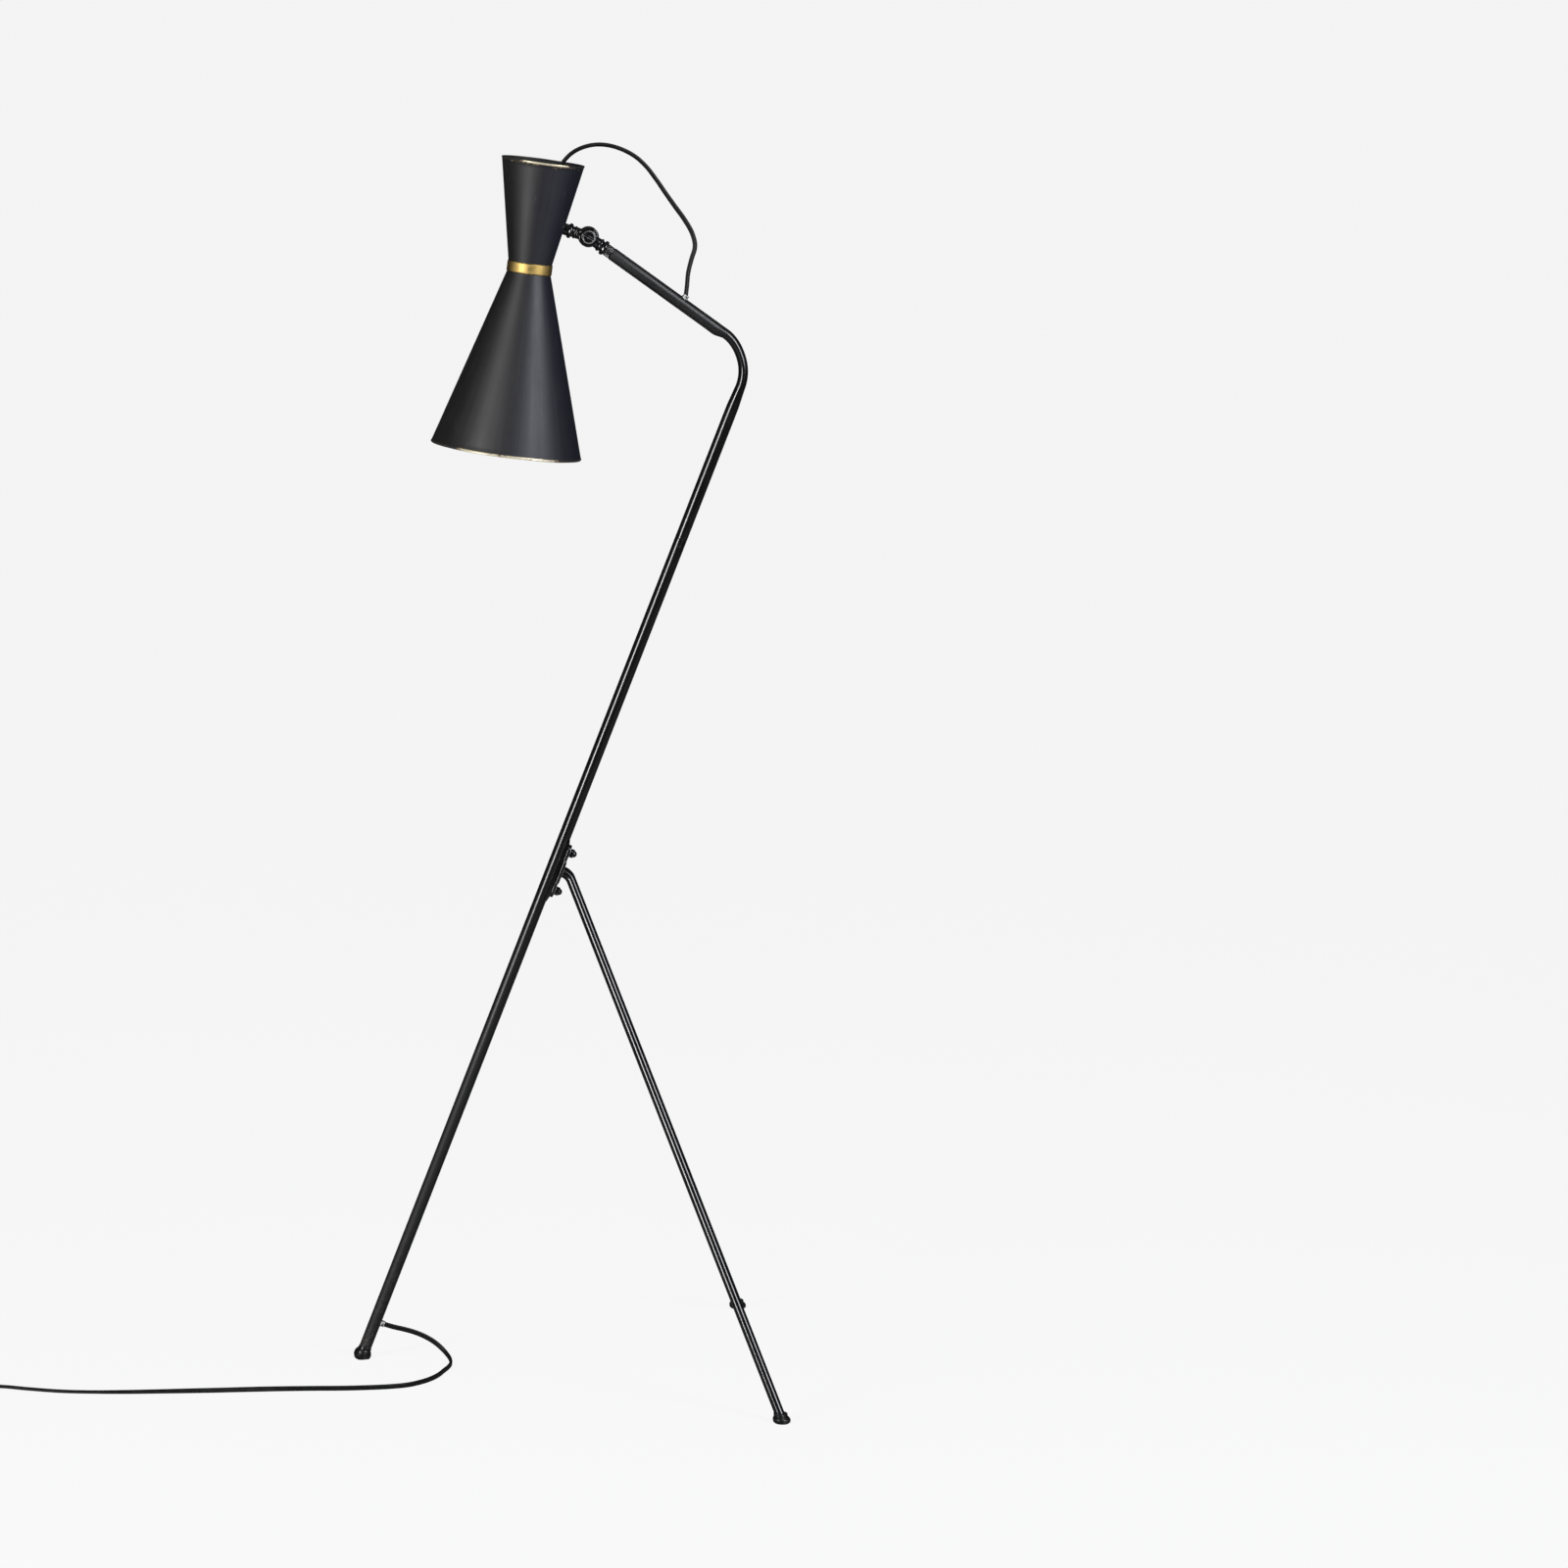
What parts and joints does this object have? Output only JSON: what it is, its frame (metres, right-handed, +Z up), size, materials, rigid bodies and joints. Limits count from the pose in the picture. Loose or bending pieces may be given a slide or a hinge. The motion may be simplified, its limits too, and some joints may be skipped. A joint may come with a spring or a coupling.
{
  "type": "tripod floor lamp",
  "caption": "Floor lamp with a bent tubular pole, two rear legs bolted to it and a double-cone metal shade that tilts on a friction knuckle.",
  "frame": {"origin": "on the floor, in the middle of the box round the lamp without its lead", "axes": "+Z up; +X from the front foot to the rear feet; +Y from the near rear leg to the far one"},
  "size_m": [1.1651, 0.6358, 1.5973],
  "materials": {
    "pole_lacquer": "glossy black stove enamel with small scratches",
    "leg_lacquer": "glossy black stove enamel, worn at the feet",
    "bracket_lacquer": "black enamel over welded steel",
    "knuckle_black": "blackened turned brass with worn highlights",
    "shade_outside": "satin black lacquer on spun aluminium with fine vertical streaks, worn at both rims",
    "band_brass": "aged unlacquered brass",
    "inner_steel": "bright zinc-plated steel",
    "inner_brass": "plain brass",
    "bakelite": "dark brown moulded bakelite",
    "ceramic": "glazed white ceramic",
    "bulb_glass": "frosted glass",
    "bulb_cap": "rolled aluminium screw cap",
    "foot_rubber": "worn black rubber",
    "bush_plastic": "aged off-white nylon",
    "washer_fibre": "brown fibre",
    "lead_black": "flat black twin lead with a groove along its middle",
    "switch_plastic": "fine-grained black plastic",
    "rocker_plastic": "smooth dark grey plastic",
    "plug_plastic": "fine-grained black plastic",
    "pin_metal": "nickel-plated pins",
    "tie_fabric": "black woven cable tie"
  },
  "bodies": {
    "stand": {"pole_lower": "pole_lacquer", "pole_upper": "pole_lacquer", "pole_sleeve": "inner_steel", "pole_set_screw": "inner_steel", "front_foot": "foot_rubber", "pole_lug": "bracket_lacquer", "clamp_studs": "inner_steel", "leg_plate": "bracket_lacquer", "clamp_washers": "inner_steel", "clamp_nuts": "bracket_lacquer", "rear_leg_near": "leg_lacquer", "rear_leg_far": "leg_lacquer", "rear_foot_near": "foot_rubber", "rear_foot_far": "foot_rubber", "pole_bush": "bush_plastic", "arm_bush": "bush_plastic", "inner_lead": "lead_black", "arm_ferrule": "knuckle_black", "arm_lock_ring": "knuckle_black", "knuckle_arm_half": "knuckle_black", "friction_washer": "washer_fibre", "knuckle_screw": "knuckle_black", "knuckle_washer": "inner_steel", "knuckle_nut": "knuckle_black", "head_cord": "lead_black", "lead_run": "lead_black", "lead_link": "lead_black", "lead_coil": "lead_black", "lead_tail": "lead_black", "coil_tie": "tie_fabric", "switch_base": "switch_plastic", "switch_cover": "switch_plastic", "switch_screws": "inner_steel", "switch_terminals": "inner_brass", "plug_body": "plug_plastic", "plug_pins": "pin_metal"},
    "head": {"knuckle_head_half": "knuckle_black", "stem_lock_ring": "knuckle_black", "stem_collar": "knuckle_black", "saddle_washer": "inner_steel", "stem_nut": "inner_steel", "holder_bracket": "inner_steel", "shade_upper": "shade_outside", "shade_lower": "shade_outside", "waist_sleeve": "inner_steel", "waist_band": "band_brass", "holder_nipple": "inner_brass", "nipple_nut": "inner_brass", "cord_grip": "bakelite", "holder_cap": "bakelite", "holder_body": "bakelite", "holder_insert": "ceramic", "centre_contact": "inner_brass", "screw_shell": "inner_brass", "bulb_cap": "bulb_cap", "bulb_glass": "bulb_glass"},
    "rocker": {"switch_rocker": "rocker_plastic"}
  },
  "joints": [
    {"name": "head_tilt", "type": "hinge", "parent": "stand", "child": "head", "pos_m": [-0.0137, 0, 1.47784], "axis": [0, 1, 0], "range_deg": [-30, 55], "deforming": ["head_cord"]},
    {"name": "switch_rock", "type": "hinge", "parent": "stand", "child": "rocker", "pos_m": [-0.772, -0.192, 0.0146], "axis": [0, 1, 0], "range_deg": [-14, 0]}
  ]
}
